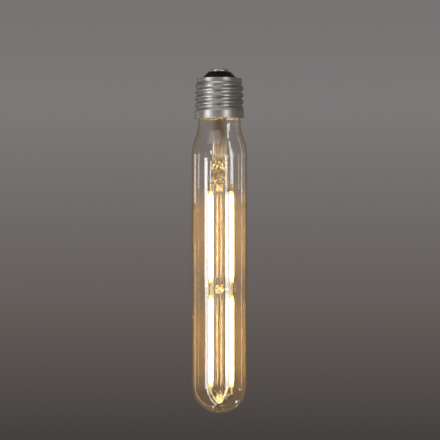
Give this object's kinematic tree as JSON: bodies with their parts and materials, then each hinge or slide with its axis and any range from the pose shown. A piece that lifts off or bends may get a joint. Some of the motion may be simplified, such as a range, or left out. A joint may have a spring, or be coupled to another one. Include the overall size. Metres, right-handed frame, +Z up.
{
  "type": "tubular light bulb",
  "caption": "Clear tubular light bulb with a domed end, upright glowing filaments on a glass rod inside, and a metal screw cap for a lamp holder.",
  "frame": {"origin": "centre of the end contact's flat face, on the lamp's axis", "axes": "+Z up along the lamp's axis and out of the cap, so the lamp hangs as it does in use; +X to the right and +Y away from the viewer, facing the flat sides of the filaments"},
  "size_m": [0.03, 0.03, 0.185],
  "materials": {
    "envelope_glass": "clear blown glass with a faint warm tint, polished",
    "mount_glass": "clear pressed and drawn glass",
    "phosphor": "amber silicone with phosphor, glowing warm white",
    "strip_metal": "thin plated metal strip",
    "nickel_wire": "drawn nickel wire",
    "cap_metal": "rolled nickel-plated sheet",
    "insulator_black": "black moulded insulator, glossy",
    "contact_metal": "tinned contact, lightly brushed",
    "cement": "pale basing cement, matt",
    "board": "green circuit board",
    "can_sleeve": "dark sleeve on a can",
    "moulded_black": "black moulded package",
    "resistor_body": "grey-green coated resistor",
    "tinned_copper": "tinned copper lead"
  },
  "bodies": {
    "root": {"glass_envelope": "envelope_glass", "stem": "mount_glass", "exhaust_tube": "mount_glass", "support_rod": "mount_glass", "filament_upper_left": "phosphor", "filament_upper_right": "phosphor", "filament_lower_left": "phosphor", "filament_lower_right": "phosphor", "strip_upper_left": "strip_metal", "strip_upper_right": "strip_metal", "strip_lower_left": "strip_metal", "strip_lower_right": "strip_metal", "lead_wire_left": "nickel_wire", "lead_wire_right": "nickel_wire", "mid_wire_left": "nickel_wire", "mid_wire_right": "nickel_wire", "foot_wire": "nickel_wire", "screw_shell": "cap_metal", "cap_insulator": "insulator_black", "centre_contact": "contact_metal", "cap_cement": "cement", "driver_board": "board", "smoothing_capacitor": "can_sleeve", "bridge_rectifier": "moulded_black", "driver_chip": "moulded_black", "fuse_resistor": "resistor_body", "contact_lead": "tinned_copper", "shell_lead": "tinned_copper"}
  },
  "joints": []
}
